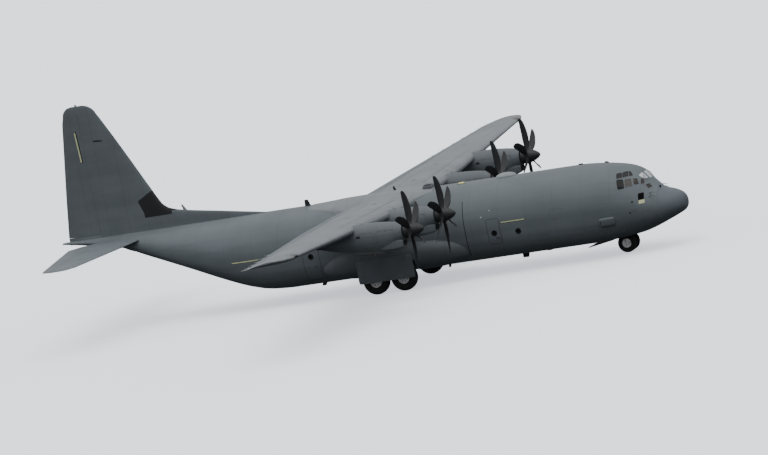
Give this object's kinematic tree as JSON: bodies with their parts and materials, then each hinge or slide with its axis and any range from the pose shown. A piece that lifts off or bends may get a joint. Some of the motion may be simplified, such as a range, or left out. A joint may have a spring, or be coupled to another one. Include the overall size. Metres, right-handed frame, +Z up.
{
  "type": "military transport plane with four propellers, a high wing and a rear cargo ramp, as a 1:2 scale model",
  "caption": "Grey high-winged military transport plane parked on its wheels, with turning propellers, moving flaps, rudder, elevators, ramp and doors, at half size.",
  "frame": {"origin": "middle of the box of the whole aircraft, on the ground under its wheels", "axes": "+X towards the nose, +Y towards the left wing tip, +Z up"},
  "size_m": [17.185, 20.205, 5.925],
  "materials": {
    "airframe_paint": "matte",
    "radome_paint": "matte",
    "gear_door_paint": "matte",
    "propeller_composite": "satin",
    "tyre_rubber": "matte",
    "wheel_paint": "satin",
    "gear_steel": "satin",
    "engine_metal": "satin",
    "window_glass": "gloss",
    "cabin_lining": "matte"
  },
  "bodies": {
    "airframe": {"radome": "radome_paint", "forward_fuselage": "airframe_paint", "centre_fuselage": "airframe_paint", "aft_fuselage": "airframe_paint", "cockpit_glazing": "window_glass", "flight_deck": "cabin_lining", "cargo_floor": "cabin_lining", "emergency_hatch": "airframe_paint", "paratroop_door_left": "airframe_paint", "paratroop_door_right": "airframe_paint", "wing_centre": "airframe_paint", "wing_left": "airframe_paint", "wing_right": "airframe_paint", "nacelle_left_outer": "airframe_paint", "nacelle_left_inner": "airframe_paint", "nacelle_right_inner": "airframe_paint", "nacelle_right_outer": "airframe_paint", "engine_left_outer": "engine_metal", "engine_left_inner": "engine_metal", "engine_right_inner": "engine_metal", "engine_right_outer": "engine_metal", "fin": "airframe_paint", "tailplane": "airframe_paint", "sponson_left": "airframe_paint", "sponson_right": "airframe_paint", "main_gear_door_left": "gear_door_paint", "main_gear_door_right": "gear_door_paint", "main_gear_legs_left": "gear_steel", "main_gear_legs_right": "gear_steel", "nose_leg": "gear_steel", "nose_gear_door": "gear_door_paint"},
    "cargo_ramp": {"cargo_ramp": "airframe_paint"},
    "cargo_door": {"cargo_door": "airframe_paint"},
    "crew_door": {"crew_door": "airframe_paint"},
    "rudder": {"rudder": "airframe_paint"},
    "nose_steering": {"nose_fork": "gear_steel"},
    "nose_wheels": {"nose_hubs": "wheel_paint", "nose_tyre_left": "tyre_rubber", "nose_tyre_right": "tyre_rubber"},
    "flap_inner_left": {"flap_inner_left": "airframe_paint"},
    "flap_outer_left": {"flap_outer_left": "airframe_paint"},
    "aileron_left": {"aileron_left": "airframe_paint"},
    "elevator_left": {"elevator_left": "airframe_paint"},
    "main_wheel_front_left": {"main_rim_front_left": "wheel_paint", "main_tyre_front_left": "tyre_rubber"},
    "main_wheel_rear_left": {"main_rim_rear_left": "wheel_paint", "main_tyre_rear_left": "tyre_rubber"},
    "flap_inner_right": {"flap_inner_right": "airframe_paint"},
    "flap_outer_right": {"flap_outer_right": "airframe_paint"},
    "aileron_right": {"aileron_right": "airframe_paint"},
    "elevator_right": {"elevator_right": "airframe_paint"},
    "main_wheel_front_right": {"main_rim_front_right": "wheel_paint", "main_tyre_front_right": "tyre_rubber"},
    "main_wheel_rear_right": {"main_rim_rear_right": "wheel_paint", "main_tyre_rear_right": "tyre_rubber"},
    "propeller_left_outer": {"propeller_left_outer": "propeller_composite"},
    "propeller_left_inner": {"propeller_left_inner": "propeller_composite"},
    "propeller_right_inner": {"propeller_right_inner": "propeller_composite"},
    "propeller_right_outer": {"propeller_right_outer": "propeller_composite"}
  },
  "joints": [
    {"name": "ramp_hinge", "type": "hinge", "parent": "airframe", "child": "cargo_ramp", "pos_m": [-2.2975, 0, 0.4575], "axis": [0, -1, 0], "range_deg": [0, 25]},
    {"name": "cargo_door_hinge", "type": "hinge", "parent": "airframe", "child": "cargo_door", "pos_m": [-6.0075, 0, 1.8], "axis": [0, -1, 0], "range_deg": [0, 28]},
    {"name": "crew_door_hinge", "type": "hinge", "parent": "airframe", "child": "crew_door", "pos_m": [5.9675, 0.86, 0.565], "axis": [-1, 0, 0], "range_deg": [0, 115]},
    {"name": "rudder_hinge", "type": "hinge", "parent": "airframe", "child": "rudder", "pos_m": [-7.4825, 0, 2.5], "axis": [0, 0, 1], "range_deg": [-35, 35]},
    {"name": "nose_steering", "type": "hinge", "parent": "airframe", "child": "nose_steering", "pos_m": [6.8275, 0, 0.425], "axis": [0, 0, 1], "range_deg": [-60, 60]},
    {"name": "nose_wheel_spin", "type": "hinge", "parent": "nose_steering", "child": "nose_wheels", "pos_m": [6.8275, 0, 0.2475], "axis": [0, 1, 0], "continuous": true},
    {"name": "flap_inner_left_swing", "type": "hinge", "parent": "airframe", "child": "flap_inner_left", "pos_m": [-0.1905, 1.2, 1.87594], "axis": [0, -0.9998, -0.0194], "range_deg": [0, 36]},
    {"name": "flap_inner_right_swing", "type": "hinge", "parent": "airframe", "child": "flap_inner_right", "pos_m": [-0.1905, -1.2, 1.87594], "axis": [0, -0.9998, 0.0194], "range_deg": [0, 36]},
    {"name": "flap_outer_left_swing", "type": "hinge", "parent": "airframe", "child": "flap_outer_left", "pos_m": [-0.18875, 2.72, 1.90595], "axis": [-0.0873, -0.9951, -0.0468], "range_deg": [0, 36]},
    {"name": "flap_outer_right_swing", "type": "hinge", "parent": "airframe", "child": "flap_outer_right", "pos_m": [-0.18875, -2.72, 1.90595], "axis": [0.0873, -0.9951, 0.0468], "range_deg": [0, 36]},
    {"name": "aileron_left_hinge", "type": "hinge", "parent": "airframe", "child": "aileron_left", "pos_m": [0.05907, 6.375, 2.32426], "axis": [-0.0945, -0.9946, -0.0436], "range_deg": [-25, 15]},
    {"name": "aileron_right_hinge", "type": "hinge", "parent": "airframe", "child": "aileron_right", "pos_m": [0.05907, -6.375, 2.32426], "axis": [0.0945, -0.9946, 0.0436], "range_deg": [-25, 15]},
    {"name": "elevator_left_hinge", "type": "hinge", "parent": "airframe", "child": "elevator_left", "pos_m": [-7.4325, 2, 2.25], "axis": [0, -1, 0], "range_deg": [-40, 15]},
    {"name": "elevator_right_hinge", "type": "hinge", "parent": "airframe", "child": "elevator_right", "pos_m": [-7.4325, -2, 2.25], "axis": [0, -1, 0], "range_deg": [-40, 15]},
    {"name": "propeller_left_outer_spin", "type": "hinge", "parent": "airframe", "child": "propeller_left_outer", "pos_m": [2.8675, 5.055, 2.13], "axis": [1, 0, 0], "continuous": true},
    {"name": "propeller_left_inner_spin", "type": "hinge", "parent": "airframe", "child": "propeller_left_inner", "pos_m": [2.8675, 2.455, 2.015], "axis": [1, 0, 0], "continuous": true},
    {"name": "propeller_right_inner_spin", "type": "hinge", "parent": "airframe", "child": "propeller_right_inner", "pos_m": [2.8675, -2.455, 2.015], "axis": [1, 0, 0], "continuous": true},
    {"name": "propeller_right_outer_spin", "type": "hinge", "parent": "airframe", "child": "propeller_right_outer", "pos_m": [2.8675, -5.055, 2.13], "axis": [1, 0, 0], "continuous": true},
    {"name": "main_wheel_front_left_spin", "type": "hinge", "parent": "airframe", "child": "main_wheel_front_left", "pos_m": [1.0175, 1.1, 0.355], "axis": [0, 1, 0], "continuous": true},
    {"name": "main_wheel_front_right_spin", "type": "hinge", "parent": "airframe", "child": "main_wheel_front_right", "pos_m": [1.0175, -1.1, 0.355], "axis": [0, 1, 0], "continuous": true},
    {"name": "main_wheel_rear_left_spin", "type": "hinge", "parent": "airframe", "child": "main_wheel_rear_left", "pos_m": [0.2475, 1.1, 0.355], "axis": [0, 1, 0], "continuous": true},
    {"name": "main_wheel_rear_right_spin", "type": "hinge", "parent": "airframe", "child": "main_wheel_rear_right", "pos_m": [0.2475, -1.1, 0.355], "axis": [0, 1, 0], "continuous": true}
  ],
  "couplings": [
    {"joint": "flap_inner_right_swing", "follows": "flap_inner_left_swing", "ratio": 1},
    {"joint": "flap_outer_left_swing", "follows": "flap_inner_left_swing", "ratio": 1},
    {"joint": "flap_outer_right_swing", "follows": "flap_inner_left_swing", "ratio": 1},
    {"joint": "elevator_right_hinge", "follows": "elevator_left_hinge", "ratio": 1}
  ]
}
